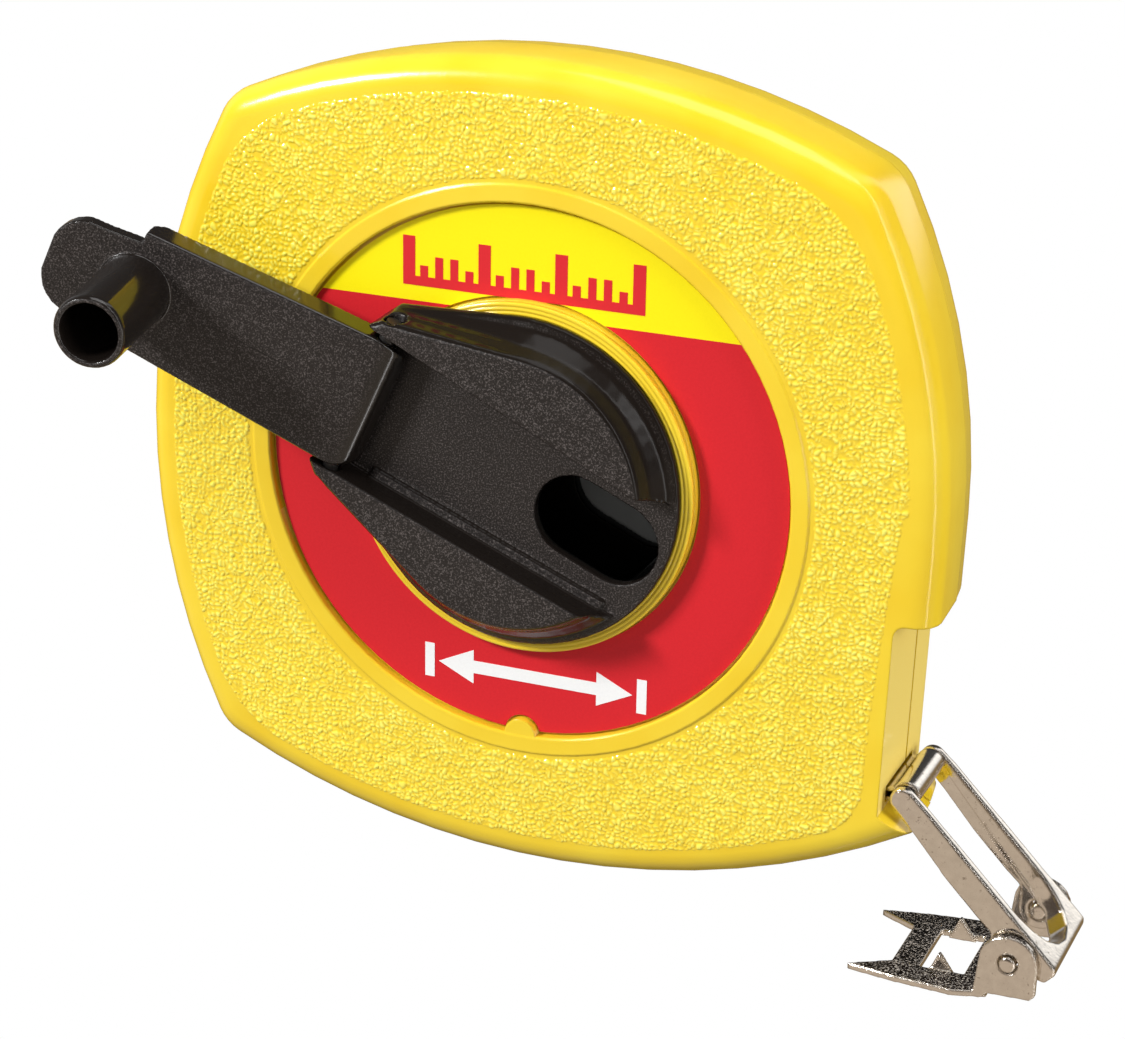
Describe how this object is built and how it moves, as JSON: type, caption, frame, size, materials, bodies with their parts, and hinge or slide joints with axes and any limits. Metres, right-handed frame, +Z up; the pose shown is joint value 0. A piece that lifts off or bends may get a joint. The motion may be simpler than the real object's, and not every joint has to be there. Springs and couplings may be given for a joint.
{
  "type": "surveyor tape reel",
  "caption": "Closed-case long steel tape on a reel, with a folding winding crank and a hinged claw hook on the free end of the blade.",
  "frame": {"origin": "on the crank axis, at the flat outer face of the rear cover", "axes": "+Y from the front face to the back along the crank axis, +X to the right of the front face, +Z up"},
  "size_m": [0.1317, 0.0454, 0.1092],
  "materials": {
    "yellow_plastic": "bright yellow moulded plastic, grained front panel, smooth ring and rim",
    "black_plastic": "black moulded plastic",
    "label_print": "printed film, red with a yellow segment",
    "nickel_steel": "nickel-plated sheet steel",
    "zinc_steel": "zinc-plated steel",
    "blade_enamel": "yellow enamelled steel strip",
    "drum_plastic": "grey moulded plastic",
    "fibre": "brown vulcanised fibre"
  },
  "bodies": {
    "case": {"front_cover": "yellow_plastic", "rear_cover": "yellow_plastic", "label_disc": "label_print", "case_screw_1": "zinc_steel", "case_screw_2": "zinc_steel", "case_screw_3": "zinc_steel", "case_screw_4": "zinc_steel", "front_washer": "fibre", "rear_washer": "fibre"},
    "reel": {"crank_base": "black_plastic", "crank_hinge_pin": "zinc_steel", "drum": "drum_plastic", "drum_screw": "zinc_steel", "tape_coil": "blade_enamel"},
    "arm": {"crank_arm": "black_plastic"},
    "blade": {"tape_blade": "blade_enamel", "end_clip": "nickel_steel", "clip_rivet_1": "zinc_steel", "clip_rivet_2": "zinc_steel"},
    "hook_bail": {"bail": "nickel_steel"},
    "hook_claw": {"claw": "nickel_steel", "claw_rivet_1": "nickel_steel", "claw_rivet_2": "nickel_steel"}
  },
  "joints": [
    {"name": "crank_spin", "type": "hinge", "parent": "case", "child": "reel", "pos_m": [0, 0, 0], "axis": [0, 1, 0], "continuous": true},
    {"name": "crank_fold", "type": "hinge", "parent": "reel", "child": "arm", "pos_m": [-0.01986, -0.0228, 0.00823], "axis": [0.3827, 0, 0.9239], "range_deg": [-9, 171]},
    {"name": "blade_pull", "type": "slide", "parent": "case", "child": "blade", "axis": [0.9904, 0, 0.1382], "range_m": [0, 0.03]},
    {"name": "bail_swing", "type": "hinge", "parent": "blade", "child": "hook_bail", "pos_m": [0.0508, -0.00907, -0.0333], "axis": [0, -1, 0], "range_deg": [0, 120]},
    {"name": "claw_swing", "type": "hinge", "parent": "hook_bail", "child": "hook_claw", "pos_m": [0.0662, -0.00907, -0.0511], "axis": [0, -1, 0], "range_deg": [-35, 85]}
  ]
}
